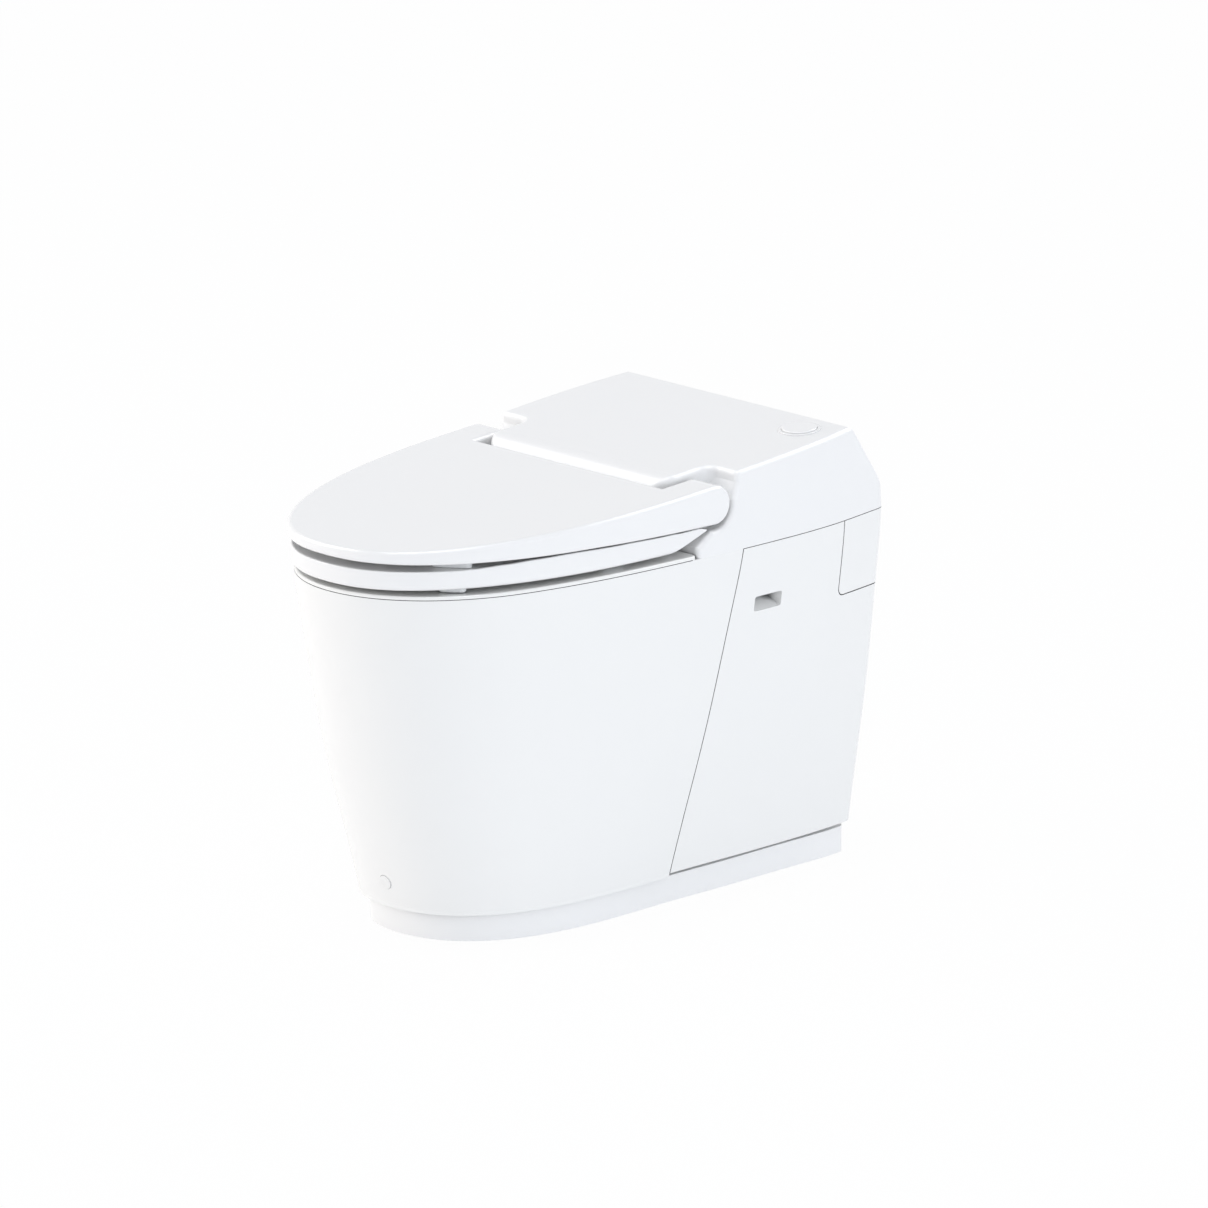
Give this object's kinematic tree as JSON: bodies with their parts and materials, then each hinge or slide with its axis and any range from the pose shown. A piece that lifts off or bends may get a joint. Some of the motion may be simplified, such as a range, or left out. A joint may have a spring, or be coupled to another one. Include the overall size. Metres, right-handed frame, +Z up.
{
  "type": "macerating toilet",
  "caption": "Floor-standing toilet with a smooth skirted body, hinged seat and lid, sloping rear cover with a flush button and a macerator pump in a waste tank behind the bowl.",
  "frame": {"origin": "on the floor, midway between the body's sides and midway between the lid's front tip and the rear wall", "axes": "+X to the toilet's right side as seen from behind it, the side shown in the picture; +Y towards the rear wall; +Z up"},
  "size_m": [0.3796, 0.684, 0.4991],
  "materials": {
    "plinth_plastic": "satin",
    "rubber": "matte",
    "acrylic": "gloss",
    "cap_plastic": "satin",
    "steel": "satin",
    "grey_plastic": "matte",
    "cover_plastic": "satin",
    "seat_plastic": "gloss",
    "clear_pad": "satin",
    "ceramic": "gloss",
    "hose_rubber": "matte",
    "white_nylon": "satin",
    "black_plastic": "matte",
    "button_plastic": "gloss",
    "board": "matte",
    "tank_plastic": "matte",
    "motor_paint": "satin",
    "iron": "matte"
  },
  "bodies": {
    "base": {"plinth": "plinth_plastic", "rubber_feet": "rubber", "skirt": "acrylic", "skirt_cap": "cap_plastic", "skirt_screw": "steel", "front_bracket": "steel", "deck": "grey_plastic", "deck_posts": "steel", "cover_screws": "steel", "right_corner_cover": "acrylic", "left_corner_cover": "acrylic", "panel_clips": "grey_plastic", "rear_panel": "acrylic", "cable_gland": "grey_plastic", "cover": "cover_plastic", "hinge_bracket": "grey_plastic", "hinge_screws": "steel", "hinge_pins": "steel", "seat_damper": "grey_plastic", "lid_damper": "grey_plastic", "bowl": "ceramic", "flush_nozzle": "grey_plastic", "feed_hose": "hose_rubber", "solenoid_valve": "white_nylon", "solenoid_coil": "black_plastic", "button_collar": "button_plastic", "button_switch": "black_plastic", "control_box": "grey_plastic", "control_lid": "grey_plastic", "circuit_board": "board", "tank": "tank_plastic", "tank_mounts": "rubber", "tank_lid": "tank_plastic", "tank_screws": "steel", "inlet_sleeve": "rubber", "pump_housing": "white_nylon", "basket": "steel", "motor_housing": "motor_paint", "motor_cap": "motor_paint", "stator": "iron", "bearings": "steel", "shaft_seal": "rubber", "pressure_tube": "white_nylon", "level_switch": "black_plastic", "valve_housing": "white_nylon", "valve_pin": "steel", "discharge_pipe": "grey_plastic"},
    "lid": {"lid": "seat_plastic", "lid_pads": "clear_pad"},
    "seat": {"seat": "seat_plastic", "seat_bumpers": "clear_pad"},
    "button": {"flush_button": "button_plastic"},
    "rotating_set": {"motor_shaft": "steel", "rotor": "iron", "cutter_disc": "steel", "impeller": "white_nylon"},
    "flap": {"valve_flap": "rubber"},
    "right_panel": {"right_side_panel": "acrylic"},
    "left_panel": {"left_side_panel": "acrylic"},
    "plunger": {"solenoid_plunger": "steel"}
  },
  "joints": [
    {"name": "seat_hinge", "type": "hinge", "parent": "base", "child": "seat", "pos_m": [0, 0.0647, 0.4542], "axis": [1, 0, 0], "range_deg": [-97, 0]},
    {"name": "lid_hinge", "type": "hinge", "parent": "seat", "child": "lid", "pos_m": [0, 0.0647, 0.4542], "axis": [-1, 0, 0], "range_deg": [0, 102]},
    {"name": "button_press", "type": "slide", "parent": "base", "child": "button", "axis": [0, 0.0732, -0.9973], "range_m": [0, 0.004], "stiffness_N_per_m": 400},
    {"name": "macerator_spin", "type": "hinge", "parent": "base", "child": "rotating_set", "pos_m": [-0.03, 0.2, 0.2], "axis": [0, 0, 1], "continuous": true},
    {"name": "check_flap_swing", "type": "hinge", "parent": "base", "child": "flap", "pos_m": [0.074, 0.246, 0.084], "axis": [0, -1, 0], "range_deg": [0, 60]},
    {"name": "right_panel_removal", "type": "slide", "parent": "base", "child": "right_panel", "axis": [1, 0, 0], "range_m": [0, 0.06]},
    {"name": "left_panel_removal", "type": "slide", "parent": "base", "child": "left_panel", "axis": [-1, 0, 0], "range_m": [0, 0.06]},
    {"name": "plunger_lift", "type": "slide", "parent": "base", "child": "plunger", "axis": [0, 0, 1], "range_m": [0, 0.003]}
  ]
}
